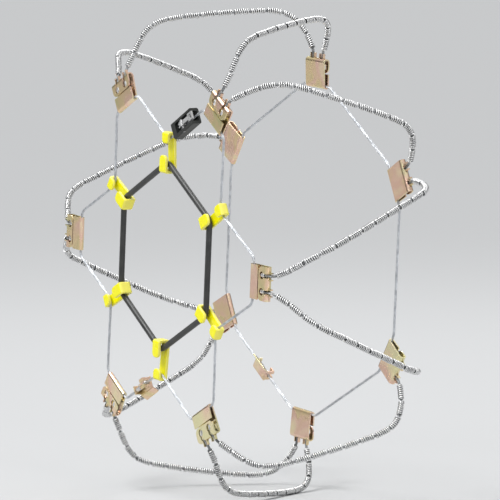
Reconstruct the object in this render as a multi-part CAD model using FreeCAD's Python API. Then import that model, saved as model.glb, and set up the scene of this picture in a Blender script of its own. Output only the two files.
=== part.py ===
import FreeCAD, Part
import math
import os

# Tire snow chains of the cable kind, drawn fitted and tensioned, without the tyre.
# Millimetres. The origin is the wheel's centre, the wheel's axle lies along Y, the wheel's
# outer face looks along -Y, and +Z is up. Angles run from +X towards +Z.
#
# Two hoops of steel cable hold the net on the tyre: a star-shaped one on the outer face and
# a hexagon on the inner face. Folded brackets are crimped on both hoops, and tread cables,
# sleeved with short steel coils, zigzag between them over the tread. A rubber ring and six
# plastic hooks pull the outer hoop tight. A cam lock and two ball fasteners close the hoops.

# ---------------------------------------------------------------- driving dimensions
SIDES = 6
STEP_DEG = 360.0 / SIDES
HALF_STEP_DEG = STEP_DEG / 2
FIRST_BRACKET_DEG = -4.3

TREAD_CABLE_R = 1.7
SIDE_CABLE_R = 1.6
HOOP_BEND_R = 12.0
HOOP_BEND_TURN_DEG = 57.0
HOOP_LEAD = 1.0

OUTER_HOOP_R = 207.0
OUTER_HOOP_Y = -116.5
INNER_HOOP_R = 210.0
INNER_HOOP_Y = 100.0
HOOK_SEAT_R = 149.0
RING_CORNER_R = 116.0

# Route of a tread cable's centre between its two brackets, as (radius, y, degrees round from
# the bracket it leaves). The tyre's tread is 300 mm in radius and its walls are 186 mm apart.
OUTER_WALL_ROUTE = [(250.0, -112.5, 2.5), (262.0, -105.5, 3.8), (276.0, -98.5, 5.3), (290.0, -90.5, 7.0)]
INNER_WALL_ROUTE = [(253.0, 99.2, 2.5), (264.0, 98.2, 3.8), (277.0, 95.5, 5.3), (290.0, 89.5, 7.0)]
SHOULDER = (300.0, 79.0, 8.4)
TREAD_EDGE = (304.0, 62.0, 9.8)
TREAD_QUARTER = (305.0, 32.0, 12.3)
TREAD_MIDDLE = (305.0, 0.0, HALF_STEP_DEG / 2)
# Share of the shorter run beside a corner that its rounding takes up.
CORNER_SHARE = 0.48

BRACKET_WIDTH = 42.0
SHEET = 1.8
HEM_GAP = 0.15
FRONT_LEAF = 15.0
BACK_LEAF = 30.0
LEAF_SLOPE_DEG = 4.0
RETURN_LEAF_END = 16.4
LOBE_R = 7.0
KEYHOLE_V = 10.0
KEYHOLE_U = 23.5
KEYHOLE_R = 4.6
SLOT_WIDTH = 5.2
SLOT_DEPTH_W = -3.7
PRONG_LENGTH = 6.0
PRONG_THICK = 1.5
PRONG_HEIGHT = 3.2
PRONG_GAP = 3.4

BUTTON_R = 3.0
BUTTON_LENGTH = 7.0
BUTTON_ROUND = 0.8
BUTTON_FLOOR = 1.0
CABLE_END_GAP = 0.2
BUTTON_FIT = 0.03
CABLE_EXIT_U = 33.0

COIL_OUTER_R = 4.0
COIL_INNER_R = 2.15
COIL_LENGTH = 19.6
COIL_GAP = 1.3
BARE_CABLE = 13.0

RING_CORD_R = 3.75
RING_BEND_R = 9.0
RING_SEAT_HALF = 4.0

HOOK_WIDTH = 15.0
HOOK_THICK = 4.0
HOOK_LIP_CORNER_R = 6.5
CABLE_SEAT_HALF = 5.0
CABLE_SEAT_BEND_R = 10.0
CABLE_WALL_GAP = 3.4
RING_WALL_GAP = 7.4
CABLE_SLOT_W = 2.2
RING_FRONT_W = 4.6
RING_BACK_W = -5.0
OUTER_LIP_END = 25.5
INNER_LIP_END = 11.5
OUTER_ROUND = 3.6
INNER_ROUND = 1.4

LOCK_BRACKET = 1
LOCK_SHIFT = 5.0
LOCK_LENGTH = 38.0
LOCK_CAP_LENGTH = 9.0
LOCK_SEAM = 0.4
LOCK_WIDTH = 21.0
LOCK_BACK = -5.0
LOCK_FRONT = 9.0
LOCK_FLOOR = -2.2
LOCK_CHANNEL = 13.0
LOCK_CORNER_R = 2.5
CAM_PIN_R = 1.5
CAM_PIN_FIT = 0.05
CAM_PIN_P = -6.0
CAM_PIN_W = 6.2
CAM_R = 4.4
CAM_WIDTH = 6.0
CAM_TOOTH_GAPS = 5
CAM_TOOTH_GAP = 0.9
CAM_TOOTH_DEPTH = 0.6
LEVER_RISE = 0.4
LEVER_THICK = 2.4
LEVER_WIDTH = 5.0
LEVER_LENGTH = 24.0
LOOP_SIZE = 10.0
LOOP_HOLE = 5.4
TAIL_LENGTH = 6.0
TAIL_STEP = 0.6
FORK_GAP = 2.0
CAM_TOOTH_DEG = 22.0
SPRING_WIRE_R = 0.35
SPRING_R = 2.3
SPRING_GAP = 0.45
SPRING_TURNS = 2.5
SPRING_TURN_GAP = 0.1

FASTENER_BRACKET = 4
INNER_FASTENER_BRACKET = 3
PLATE_LENGTH = 30.0
PLATE_WIDTH = 15.0
PLATE_BACK_W = -6.0
FINGER_TOP_W = 5.0
FINGER_SLOT = 4.4
FINGER_REACH = 3.0
FINGER_INSET = 1.0
END_WALL_INSET = 2.0
FLANGE_WIDTH = 9.0
FLANGE_TILT_DEG = 50.0
BALL_R = 3.6
BALL_FIT = 0.25
END_SLEEVE_R = 2.9
END_SLEEVE_LENGTH = 10.0
END_SLEEVE_FLOOR = 0.6
END_CABLE_GAP = 0.4

X_AXIS = FreeCAD.Vector(1, 0, 0)
Y_AXIS = FreeCAD.Vector(0, 1, 0)
AWAY_FROM_OUTER = -1
AWAY_FROM_INNER = 1

ball_p = PLATE_LENGTH / 2 - SHEET - BALL_R - BALL_FIT
sleeve_end_p = -PLATE_LENGTH / 2 + SHEET + BALL_FIT + END_SLEEVE_LENGTH
hem_centre_r = SIDE_CABLE_R + HEM_GAP + SHEET / 2
hoop_bend_reach = HOOP_BEND_R * math.tan(math.radians(HOOP_BEND_TURN_DEG / 2))
hoop_bend_v = BRACKET_WIDTH / 2 + HOOP_LEAD + hoop_bend_reach
cable_start_u = KEYHOLE_U - BUTTON_LENGTH / 2 + BUTTON_FLOOR + CABLE_END_GAP


# ---------------------------------------------------------------- places and frames
def vec(x, y, z):
    return FreeCAD.Vector(x, y, z)


def radial(angle_deg):
    """Unit vector away from the axle at this angle."""
    a = math.radians(angle_deg)
    return vec(math.cos(a), 0, math.sin(a))


def tangent(angle_deg):
    """Unit vector round the axle at this angle, the way the angle grows."""
    a = math.radians(angle_deg)
    return vec(-math.sin(a), 0, math.cos(a))


def polar(radius, y, angle_deg):
    return radial(angle_deg) * radius + Y_AXIS * y


def beside(radius, v, y, angle_deg):
    """A point at a radius, moved v along the tangent there."""
    return polar(radius, y, angle_deg) + tangent(angle_deg) * v


def frame_at(origin, x_dir, z_dir):
    """Placement whose local X and Z point along the two given directions."""
    x_dir = vec(*x_dir).normalize()
    z_dir = vec(*z_dir).normalize()
    y_dir = z_dir.cross(x_dir)
    m = FreeCAD.Matrix(
        x_dir.x, y_dir.x, z_dir.x, origin.x,
        x_dir.y, y_dir.y, z_dir.y, origin.y,
        x_dir.z, y_dir.z, z_dir.z, origin.z,
        0, 0, 0, 1)
    return FreeCAD.Placement(m)


def hoop_frame(radius, y, angle_deg, away):
    """Local u away from the axle, v along the hoop, w away from the tyre."""
    return frame_at(polar(radius, y, angle_deg), radial(angle_deg), Y_AXIS * away)


def placed(shape, placement):
    out = shape.copy()
    out.transformShape(placement.toMatrix(), True)
    return out


def turned(shape, angle_deg):
    """Copy turned about the axle so that its angle grows by this much."""
    out = shape.copy()
    out.rotate(vec(0, 0, 0), vec(0, -1, 0), angle_deg)
    return out


def bracket_deg(index):
    return FIRST_BRACKET_DEG + STEP_DEG * index


def between_deg(index):
    """Halfway from outer bracket index to the next: a hook, and an inner bracket."""
    return bracket_deg(index) + HALF_STEP_DEG


# ---------------------------------------------------------------- building blocks
def rounded_path(points, bend_radii, closed):
    """Wire of straight runs through the points, joined by tangent arcs."""
    count = len(points)
    edges = []
    corners = range(count) if closed else range(1, count - 1)
    last_end = None if closed else points[0]
    first_start = None
    for i in corners:
        corner = points[i]
        into = (corner - points[i - 1]).normalize()
        out_of = (points[(i + 1) % count] - corner).normalize()
        half_turn = into.getAngle(out_of) / 2
        radius = bend_radii[i]
        reach = radius * math.tan(half_turn)
        start = corner - into * reach
        end = corner + out_of * reach
        inward = (out_of - into).normalize()
        middle = corner + inward * (radius / math.cos(half_turn) - radius)
        if last_end is not None:
            edges.append(Part.LineSegment(last_end, start).toShape())
        else:
            first_start = start
        edges.append(Part.Arc(start, middle, end).toShape())
        last_end = end
    finish = first_start if closed else points[-1]
    edges.append(Part.LineSegment(last_end, finish).toShape())
    return Part.Wire(edges)


def round_bar(path, radius):
    """Round cable or cord swept along a wire."""
    first = path.OrderedEdges[0]
    start = first.valueAt(first.FirstParameter)
    heading = first.tangentAt(first.FirstParameter)
    ring = Part.Wire(Part.makeCircle(radius, start, heading))
    return path.makePipeShell([ring], True, False)


def strip_line(start, end, thick, width):
    """Flat leaf of sheet between two (u, w) points, centred on v = 0."""
    along = vec(end[0] - start[0], 0, end[1] - start[1])
    side = vec(-along.z, 0, along.x).normalize() * (thick / 2)
    a = vec(start[0], -width / 2, start[1])
    corners = [a - side, a - side + along, a + side + along, a + side, a - side]
    return Part.Face(Part.makePolygon(corners)).extrude(vec(0, width, 0))


def strip_arc(centre, radius, from_deg, to_deg, thick, width):
    """Bent part of a strip about a (u, w) centre, centred on v = 0."""
    def at(r, deg):
        a = math.radians(deg)
        return vec(centre[0] + r * math.cos(a), -width / 2, centre[1] + r * math.sin(a))

    outer = radius + thick / 2
    inner = radius - thick / 2
    mid_deg = (from_deg + to_deg) / 2
    outline = Part.Wire([
        Part.Arc(at(outer, from_deg), at(outer, mid_deg), at(outer, to_deg)).toShape(),
        Part.LineSegment(at(outer, to_deg), at(inner, to_deg)).toShape(),
        Part.Arc(at(inner, to_deg), at(inner, mid_deg), at(inner, from_deg)).toShape(),
        Part.LineSegment(at(inner, from_deg), at(outer, from_deg)).toShape()])
    return Part.Face(outline).extrude(vec(0, width, 0))


def block(x_range, y_range, z_range):
    size = [r[1] - r[0] for r in (x_range, y_range, z_range)]
    return Part.makeBox(*size, vec(x_range[0], y_range[0], z_range[0]))


def fused(shapes):
    return shapes[0].multiFuse(shapes[1:]).removeSplitter()


def edges_along(shape, direction, keep):
    """Straight edges parallel to a direction whose middle passes the keep test."""
    found = []
    for edge in shape.Edges:
        if edge.Curve.TypeId != "Part::GeomLine":
            continue
        heading = edge.tangentAt(edge.FirstParameter)
        if abs(abs(heading.dot(direction)) - 1) < 1e-6 and keep(edge.CenterOfMass):
            found.append(edge)
    return found


# ---------------------------------------------------------------- bracket
def bracket():
    """Folded sheet in (u, v, w): a hem round the hoop cable, a short front leaf, a back leaf
    that spreads from it, and a bend at the tread end that returns as a keyholed leaf."""
    slope = math.radians(LEAF_SLOPE_DEG)
    along = (math.cos(slope), -math.sin(slope))
    back_start = (-hem_centre_r * math.sin(slope), -hem_centre_r * math.cos(slope))
    back_end = (back_start[0] + BACK_LEAF * along[0], back_start[1] + BACK_LEAF * along[1])
    bend_r = (hem_centre_r - back_end[1]) / (1 + math.cos(slope))
    bend_centre = (back_end[0] + bend_r * math.sin(slope), hem_centre_r - bend_r)
    width = BRACKET_WIDTH
    return_leaf = strip_line((RETURN_LEAF_END, hem_centre_r), (bend_centre[0], hem_centre_r), SHEET, width)
    lobe_corners = edges_along(return_leaf, vec(0, 0, 1), lambda c: c.x < RETURN_LEAF_END + 1)
    body = fused([
        strip_line((FRONT_LEAF, hem_centre_r), (0, hem_centre_r), SHEET, width),
        strip_arc((0, 0), hem_centre_r, 90, 270 - LEAF_SLOPE_DEG, SHEET, width),
        strip_line(back_start, back_end, SHEET, width),
        strip_arc(bend_centre, bend_r, -90 - LEAF_SLOPE_DEG, 90, SHEET, width),
        return_leaf.makeFillet(LOBE_R, lobe_corners)])
    tread_end = bend_centre[0] + bend_r + SHEET / 2
    top = hem_centre_r + SHEET
    for v in (-KEYHOLE_V, KEYHOLE_V):
        hole = Part.makeCylinder(KEYHOLE_R, SHEET * 2, vec(KEYHOLE_U, v, top - SHEET * 2))
        slot = block((KEYHOLE_U, tread_end + 1), (v - SLOT_WIDTH / 2, v + SLOT_WIDTH / 2),
                     (SLOT_DEPTH_W, top))
        body = body.cut(hole).cut(slot)
        for side in (-1, 1):
            near = v + side * PRONG_GAP
            far = near + side * PRONG_THICK
            prong = block((tread_end - SHEET / 2, tread_end + PRONG_LENGTH), sorted((near, far)),
                          (bend_centre[1] - PRONG_HEIGHT / 2, bend_centre[1] + PRONG_HEIGHT / 2))
            body = body.fuse(prong)
    return body.removeSplitter()


# ---------------------------------------------------------------- tread cables
def smooth_path(points):
    """Wire through straight runs whose corners are rounded as widely as the runs allow."""
    radii = [0.0] * len(points)
    for i in range(1, len(points) - 1):
        into = points[i] - points[i - 1]
        out_of = points[i + 1] - points[i]
        reach = CORNER_SHARE * min(into.Length, out_of.Length)
        radii[i] = reach / math.tan(into.getAngle(out_of) / 2)
    return rounded_path(points, radii, False)


def tread_points(side):
    """Corners of one tread cable's route, from the outer bracket at angle 0 to the inner
    bracket half a step round on the given side."""
    def outer_end(u):
        return beside(OUTER_HOOP_R + u, side * KEYHOLE_V, OUTER_HOOP_Y, 0)

    def inner_end(u):
        return beside(INNER_HOOP_R + u, -side * KEYHOLE_V, INNER_HOOP_Y, side * HALF_STEP_DEG)

    over_tread = [SHOULDER, TREAD_EDGE, TREAD_QUARTER]
    near = [polar(r, y, side * deg) for r, y, deg in OUTER_WALL_ROUTE]
    near += [polar(r, -y, side * deg) for r, y, deg in over_tread]
    far = [polar(r, y, side * (HALF_STEP_DEG - deg)) for r, y, deg in INNER_WALL_ROUTE + over_tread]
    middle = polar(TREAD_MIDDLE[0], TREAD_MIDDLE[1], side * TREAD_MIDDLE[2])
    return ([outer_end(cable_start_u), outer_end(CABLE_EXIT_U)] + near + [middle] + far[::-1]
            + [inner_end(CABLE_EXIT_U), inner_end(cable_start_u)])


def tread_cable(side):
    return round_bar(smooth_path(tread_points(side)), TREAD_CABLE_R)


def point_along(path, distance):
    for edge in path.OrderedEdges:
        if distance <= edge.Length:
            return edge.valueAt(edge.getParameterByLength(distance))
        distance -= edge.Length
    return edge.valueAt(edge.LastParameter)


def curved_tube(start, middle, end):
    """Hollow sleeve bent along the arc through three points."""
    arc = Part.Arc(start, middle, end).toShape()
    hub = arc.Curve.Center
    axis = arc.Curve.Axis
    sweep_deg = math.degrees(arc.LastParameter - arc.FirstParameter)
    heading = axis.cross(start - hub).normalize()
    rings = [Part.Wire(Part.makeCircle(r, start, heading)) for r in (COIL_OUTER_R, COIL_INNER_R)]
    outer, inner = (Part.Face(ring).revolve(hub, axis, sweep_deg) for ring in rings)
    return outer.cut(inner)


def coil_sleeves(side):
    """The steel coils of one tread cable, each as a short hollow sleeve that follows it."""
    path = smooth_path(tread_points(side))
    first = CABLE_EXIT_U - cable_start_u + BARE_CABLE
    room = path.Length - 2 * first
    count = int((room + COIL_GAP) // (COIL_LENGTH + COIL_GAP))
    pitch = (room + (room - count * COIL_LENGTH) / (count - 1)) / count
    sleeves = []
    for i in range(count):
        from_length = first + i * pitch
        stations = [point_along(path, from_length + COIL_LENGTH * f) for f in (0.0, 0.5, 1.0)]
        sleeves.append(curved_tube(*stations))
    return Part.makeCompound(sleeves)


def end_button():
    """Swaged button on a tread cable's end, along local X and centred on it."""
    start = vec(-BUTTON_LENGTH / 2, 0, 0)
    body = Part.makeCylinder(BUTTON_R, BUTTON_LENGTH, start, X_AXIS)
    body = body.makeFillet(BUTTON_ROUND, [e for e in body.Edges if e.Curve.TypeId == "Part::GeomCircle"])
    bore_start = start + X_AXIS * BUTTON_FLOOR
    return body.cut(Part.makeCylinder(TREAD_CABLE_R + BUTTON_FIT, BUTTON_LENGTH, bore_start, X_AXIS))


def cable_buttons(hoop_r, hoop_y, away, angles_deg):
    button = end_button()
    buttons = []
    for angle in angles_deg:
        for v in (-KEYHOLE_V, KEYHOLE_V):
            centre = beside(hoop_r + KEYHOLE_U, v, hoop_y, angle)
            buttons.append(placed(button, frame_at(centre, radial(angle), Y_AXIS * away)))
    return Part.makeCompound(buttons)


# ---------------------------------------------------------------- hoops
def outer_straight():
    """Ends of the straight run from bracket to hook that carries the fastener, and of the
    straight run from hook to bracket that carries the cam lock."""
    def bracket_bend(index, side):
        return beside(OUTER_HOOP_R, side * hoop_bend_v, OUTER_HOOP_Y, bracket_deg(index))

    def hook_bend(index, side):
        return beside(HOOK_SEAT_R, side * CABLE_SEAT_HALF, OUTER_HOOP_Y, between_deg(index))

    fastener_run = (bracket_bend(FASTENER_BRACKET, 1), hook_bend(FASTENER_BRACKET, -1))
    lock_run = (hook_bend(LOCK_BRACKET, -1), bracket_bend(LOCK_BRACKET, 1))
    return fastener_run, lock_run


def inner_straight():
    first, second = between_deg(INNER_FASTENER_BRACKET), between_deg(INNER_FASTENER_BRACKET + 1)
    return (beside(INNER_HOOP_R, hoop_bend_v, INNER_HOOP_Y, first),
            beside(INNER_HOOP_R, -hoop_bend_v, INNER_HOOP_Y, second))


def run_frame(run, away):
    """Frame at the middle of a straight run: X along it, Z away from the tyre."""
    start, end = run
    return frame_at((start + end) * 0.5, end - start, Y_AXIS * away)


def hoop_ends(frame):
    """Where a hoop cable stops inside the ball and inside the end sleeve of its fastener."""
    ball_end = vec(ball_p - BALL_R / 2, 0, 0)
    sleeve_end = vec(sleeve_end_p - END_SLEEVE_FLOOR - END_CABLE_GAP, 0, 0)
    return frame.multVec(ball_end), frame.multVec(sleeve_end)


def outer_side_cable():
    """Open star: from the ball round all hooks and brackets back to the end sleeve."""
    ball_end, sleeve_end = hoop_ends(run_frame(outer_straight()[0], AWAY_FROM_OUTER))
    points = [ball_end]
    radii = [0]
    for i in range(SIDES):
        hook = between_deg(FASTENER_BRACKET + i)
        for v in (-CABLE_SEAT_HALF, CABLE_SEAT_HALF):
            points.append(beside(HOOK_SEAT_R, v, OUTER_HOOP_Y, hook))
            radii.append(CABLE_SEAT_BEND_R)
        for v in (-hoop_bend_v, hoop_bend_v):
            points.append(beside(OUTER_HOOP_R, v, OUTER_HOOP_Y, hook + HALF_STEP_DEG))
            radii.append(HOOP_BEND_R)
    return round_bar(rounded_path(points + [sleeve_end], radii + [0], False), SIDE_CABLE_R)


def inner_side_cable():
    ball_end, sleeve_end = hoop_ends(run_frame(inner_straight(), AWAY_FROM_INNER))
    points = [ball_end]
    radii = [0]
    for i in range(SIDES):
        bracket_at = between_deg(INNER_FASTENER_BRACKET + 1 + i)
        for v in (-hoop_bend_v, hoop_bend_v):
            points.append(beside(INNER_HOOP_R, v, INNER_HOOP_Y, bracket_at))
            radii.append(HOOP_BEND_R)
    return round_bar(rounded_path(points + [sleeve_end], radii + [0], False), SIDE_CABLE_R)


def tension_ring():
    """Closed rubber cord: a hexagon whose corners sit in the hooks."""
    points = []
    for i in range(SIDES):
        for v in (-RING_SEAT_HALF, RING_SEAT_HALF):
            points.append(beside(RING_CORNER_R, v, OUTER_HOOP_Y, between_deg(i)))
    return round_bar(rounded_path(points, [RING_BEND_R] * len(points), True), RING_CORD_R)


# ---------------------------------------------------------------- hook
def hook():
    """Double hook in (u, v, w), u = 0 at the rubber ring: a back bar whose two ends curl to
    the front, the outer lip over the side cable and the inner lip over the rubber ring."""
    cable_u = HOOK_SEAT_R - RING_CORNER_R
    outer_wall = cable_u + CABLE_WALL_GAP
    inner_wall = -RING_WALL_GAP
    lip = HOOK_THICK
    outline = [
        (inner_wall - lip, RING_FRONT_W + lip, OUTER_ROUND),
        (inner_wall - lip, RING_BACK_W - lip, OUTER_ROUND),
        (outer_wall + lip, -CABLE_SLOT_W - lip, OUTER_ROUND),
        (outer_wall + lip, CABLE_SLOT_W + lip, OUTER_ROUND),
        (OUTER_LIP_END, CABLE_SLOT_W + lip, INNER_ROUND),
        (OUTER_LIP_END, CABLE_SLOT_W, INNER_ROUND),
        (outer_wall, CABLE_SLOT_W, INNER_ROUND),
        (outer_wall, -CABLE_SLOT_W, INNER_ROUND),
        (inner_wall, RING_BACK_W, INNER_ROUND),
        (inner_wall, RING_FRONT_W, INNER_ROUND),
        (INNER_LIP_END, RING_FRONT_W, INNER_ROUND),
        (INNER_LIP_END, RING_FRONT_W + lip, INNER_ROUND)]
    half = HOOK_WIDTH / 2
    points = [vec(u, -half, w) for u, w, bend in outline]
    body = Part.Face(rounded_path(points, [bend for u, w, bend in outline], True))
    body = body.extrude(vec(0, HOOK_WIDTH, 0))
    front = RING_FRONT_W + lip + 1
    for lip_end, inward in ((OUTER_LIP_END, 1), (INNER_LIP_END, -1)):
        for side in (-1, 1):
            centre = vec(lip_end + inward * HOOK_LIP_CORNER_R, side * (half - HOOK_LIP_CORNER_R), 0)
            corner = block(sorted((centre.x, lip_end - inward)), sorted((centre.y, side * (half + 1))),
                           (0, front))
            round_post = Part.makeCylinder(HOOK_LIP_CORNER_R, front, centre)
            body = body.cut(corner.cut(round_post))
    return body


# ---------------------------------------------------------------- hoop fastener
def fastener_plate():
    """Folded plate along X: a closed end wall for the cable's end sleeve, an open one whose
    two curled fingers hold the ball, and a tilted flange along one side."""
    end = PLATE_LENGTH / 2
    half = PLATE_WIDTH / 2
    finger_half = half - FINGER_INSET
    tilt = math.radians(FLANGE_TILT_DEG)
    edge = vec(-end, -half + SHEET / 2, PLATE_BACK_W)
    out = vec(0, -math.cos(tilt), -math.sin(tilt)) * FLANGE_WIDTH
    up = vec(0, -math.sin(tilt), math.cos(tilt)) * SHEET
    flange = Part.Face(Part.makePolygon([edge, edge + out, edge + out + up, edge + up, edge]))
    body = fused([
        block((-end, end), (-half, half), (PLATE_BACK_W, PLATE_BACK_W + SHEET)),
        block((-end, -end + SHEET), (END_WALL_INSET - half, half - END_WALL_INSET),
              (PLATE_BACK_W, FINGER_TOP_W - FINGER_INSET)),
        block((end - SHEET, end), (-finger_half, finger_half), (PLATE_BACK_W, FINGER_TOP_W)),
        block((ball_p - FINGER_REACH, end), (-finger_half, finger_half),
              (FINGER_TOP_W, FINGER_TOP_W + SHEET)),
        flange.extrude(X_AXIS * PLATE_LENGTH)])
    slot = block((ball_p - FINGER_REACH - 1, end + 1), (-FINGER_SLOT / 2, FINGER_SLOT / 2),
                 (-FINGER_SLOT / 2, FINGER_TOP_W + 2 * SHEET))
    bore = Part.makeCylinder(SIDE_CABLE_R + BALL_FIT, SHEET * 3, vec(-end - SHEET, 0, 0), X_AXIS)
    return body.cut(slot).cut(bore).removeSplitter()


def bored_ball(bore_r, floor_x):
    """Ball at the origin whose bore runs along X from floor_x out of its far side."""
    mouth = vec(math.sqrt(BALL_R ** 2 - bore_r ** 2), bore_r, 0)
    back = vec(-BALL_R, 0, 0)
    floor_edge = vec(floor_x, bore_r, 0)
    floor_centre = vec(floor_x, 0, 0)
    outline = Part.Wire([
        Part.Arc(back, vec(0, BALL_R, 0), mouth).toShape(),
        Part.LineSegment(mouth, floor_edge).toShape(),
        Part.LineSegment(floor_edge, floor_centre).toShape(),
        Part.LineSegment(floor_centre, back).toShape()])
    return Part.Face(outline).revolve(vec(0, 0, 0), X_AXIS, 360)


def fastener_ends():
    """The end sleeve and the ball swaged on the two ends of a hoop cable."""
    bore_r = SIDE_CABLE_R + BUTTON_FIT
    sleeve_start = vec(sleeve_end_p - END_SLEEVE_LENGTH, 0, 0)
    sleeve = Part.makeCylinder(END_SLEEVE_R, END_SLEEVE_LENGTH, sleeve_start, X_AXIS)
    bore = Part.makeCylinder(bore_r, END_SLEEVE_LENGTH - END_SLEEVE_FLOOR, sleeve_start, X_AXIS)
    ball = bored_ball(bore_r, -BALL_R / 2 - END_CABLE_GAP)
    ball.translate(X_AXIS * ball_p)
    return Part.makeCompound([sleeve.cut(bore), ball])


# ---------------------------------------------------------------- cam lock
def lock_shell(p_range):
    """Solid block of the lock's outer section with its four long edges rounded."""
    half = LOCK_WIDTH / 2
    body = block(p_range, (-half, half), (LOCK_BACK, LOCK_FRONT))
    return body.makeFillet(LOCK_CORNER_R, edges_along(body, X_AXIS, lambda c: True))


def cam_lock_body():
    half = LOCK_LENGTH / 2
    channel = block((-half - 1, half + 1), (-LOCK_CHANNEL / 2, LOCK_CHANNEL / 2),
                    (LOCK_FLOOR, LOCK_FRONT + 1))
    bore_start = vec(CAM_PIN_P, -LOCK_WIDTH, CAM_PIN_W)
    bore = Part.makeCylinder(CAM_PIN_R + BUTTON_FIT, LOCK_WIDTH * 2, bore_start, Y_AXIS)
    return lock_shell((-half, half)).cut(channel).cut(bore)


def cam_lock_cap():
    end = -LOCK_LENGTH / 2 - LOCK_SEAM
    start = end - LOCK_CAP_LENGTH
    bore = Part.makeCylinder(SIDE_CABLE_R + BALL_FIT, LOCK_CAP_LENGTH + 2, vec(start - 1, 0, 0), X_AXIS)
    return lock_shell((start, end)).cut(bore)


def cam_pin():
    length = LOCK_WIDTH - 0.6
    return Part.makeCylinder(CAM_PIN_R, length, vec(CAM_PIN_P, -length / 2, CAM_PIN_W), Y_AXIS)


def square_plate(centre_x, size, z_range):
    half = size / 2
    return block((centre_x - half, centre_x + half), (-half, half), z_range)


def cam_lever():
    """Lever with a toothed cam round the pin, a forked tail, and a square finger loop."""
    top = LOCK_FRONT + LEVER_RISE
    low = top - LEVER_THICK
    half = LEVER_WIDTH / 2
    cam_half = CAM_WIDTH / 2
    loop_x = CAM_PIN_P + LEVER_LENGTH
    tail_end = CAM_PIN_P - TAIL_LENGTH
    body = fused([
        square_plate(loop_x, LOOP_SIZE, (low, top)),
        block((CAM_PIN_P, loop_x - LOOP_SIZE / 2), (-half, half), (low, top)),
        Part.makeCylinder(CAM_R, CAM_WIDTH, vec(CAM_PIN_P, -cam_half, CAM_PIN_W), Y_AXIS),
        block((tail_end, CAM_PIN_P), (-cam_half, cam_half), (low - TAIL_STEP, top - TAIL_STEP))])
    loop_hole = square_plate(loop_x, LOOP_HOLE, (low - 1, top + 1))
    fork = block((tail_end - 1, CAM_PIN_P - CAM_R), (-FORK_GAP / 2, FORK_GAP / 2), (low - 2, top + 1))
    bore_start = vec(CAM_PIN_P, -cam_half - 1, CAM_PIN_W)
    bore = Part.makeCylinder(CAM_PIN_R + CAM_PIN_FIT, CAM_WIDTH + 2, bore_start, Y_AXIS)
    body = body.cut(loop_hole).cut(fork).cut(bore)
    tooth_gap = block((-CAM_TOOTH_GAP / 2, CAM_TOOTH_GAP / 2), (-CAM_WIDTH, CAM_WIDTH),
                      (-CAM_R - 1, CAM_TOOTH_DEPTH - CAM_R))
    for i in range(CAM_TOOTH_GAPS):
        gap = tooth_gap.copy()
        gap.rotate(vec(0, 0, 0), Y_AXIS, (i - (CAM_TOOTH_GAPS - 1) / 2) * CAM_TOOTH_DEG)
        gap.translate(vec(CAM_PIN_P, 0, CAM_PIN_W))
        body = body.cut(gap)
    return body


def cam_spring():
    """Torsion spring round the pin, between the cam and the lock's wall."""
    pitch = SPRING_WIRE_R * 2 + SPRING_TURN_GAP
    helix = Part.makeHelix(pitch, pitch * SPRING_TURNS, SPRING_R)
    coil = round_bar(Part.Wire(helix), SPRING_WIRE_R)
    coil.rotate(vec(0, 0, 0), X_AXIS, -90)
    coil.translate(vec(CAM_PIN_P, CAM_WIDTH / 2 + SPRING_WIRE_R + SPRING_GAP, CAM_PIN_W))
    return coil


# ---------------------------------------------------------------- the whole net
def all_nodes():
    nodes = {"outer_side_cable": outer_side_cable(), "inner_side_cable": inner_side_cable()}
    one_bracket = bracket()
    legs = {side: (tread_cable(side), coil_sleeves(side)) for side in (1, -1)}
    one_hook = hook()
    for i in range(SIDES):
        name = str(i + 1)
        outer_frame = hoop_frame(OUTER_HOOP_R, OUTER_HOOP_Y, bracket_deg(i), AWAY_FROM_OUTER)
        inner_frame = hoop_frame(INNER_HOOP_R, INNER_HOOP_Y, between_deg(i), AWAY_FROM_INNER)
        hook_frame = hoop_frame(RING_CORNER_R, OUTER_HOOP_Y, between_deg(i), AWAY_FROM_OUTER)
        nodes["outer_bracket_" + name] = placed(one_bracket, outer_frame)
        nodes["inner_bracket_" + name] = placed(one_bracket, inner_frame)
        nodes["tension_hook_" + name] = placed(one_hook, hook_frame)
        for leg, side in enumerate((1, -1)):
            number = str(2 * i + leg + 1)
            cable, coils = legs[side]
            nodes["tread_cable_" + number] = turned(cable, bracket_deg(i))
            nodes["traction_coils_" + number] = turned(coils, bracket_deg(i))
    outer_angles = [bracket_deg(i) for i in range(SIDES)]
    inner_angles = [between_deg(i) for i in range(SIDES)]
    nodes["outer_cable_buttons"] = cable_buttons(OUTER_HOOP_R, OUTER_HOOP_Y, AWAY_FROM_OUTER, outer_angles)
    nodes["inner_cable_buttons"] = cable_buttons(INNER_HOOP_R, INNER_HOOP_Y, AWAY_FROM_INNER, inner_angles)
    nodes["tension_ring"] = tension_ring()
    fastener_run, lock_run = outer_straight()
    fasteners = (("outer", run_frame(fastener_run, AWAY_FROM_OUTER)),
                 ("inner", run_frame(inner_straight(), AWAY_FROM_INNER)))
    for side, frame in fasteners:
        nodes[side + "_fastener_plate"] = placed(fastener_plate(), frame)
        nodes[side + "_fastener_ends"] = placed(fastener_ends(), frame)
    lock_frame = run_frame(lock_run, AWAY_FROM_OUTER)
    lock_frame.Base = lock_frame.multVec(X_AXIS * LOCK_SHIFT)
    lock_pieces = {"cam_lock_body": cam_lock_body(), "cam_lock_cap": cam_lock_cap(), "cam_pin": cam_pin(),
                   "cam_lever": cam_lever(), "cam_spring": cam_spring()}
    for name, piece in lock_pieces.items():
        nodes[name] = placed(piece, lock_frame)
    return nodes


os.makedirs("parts", exist_ok=True)
for node_name, node_shape in all_nodes().items():
    node_shape.exportStep("parts/" + node_name + ".step")
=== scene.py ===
import math
import random

import bpy
import numpy as np
from mathutils import Matrix, Vector


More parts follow.
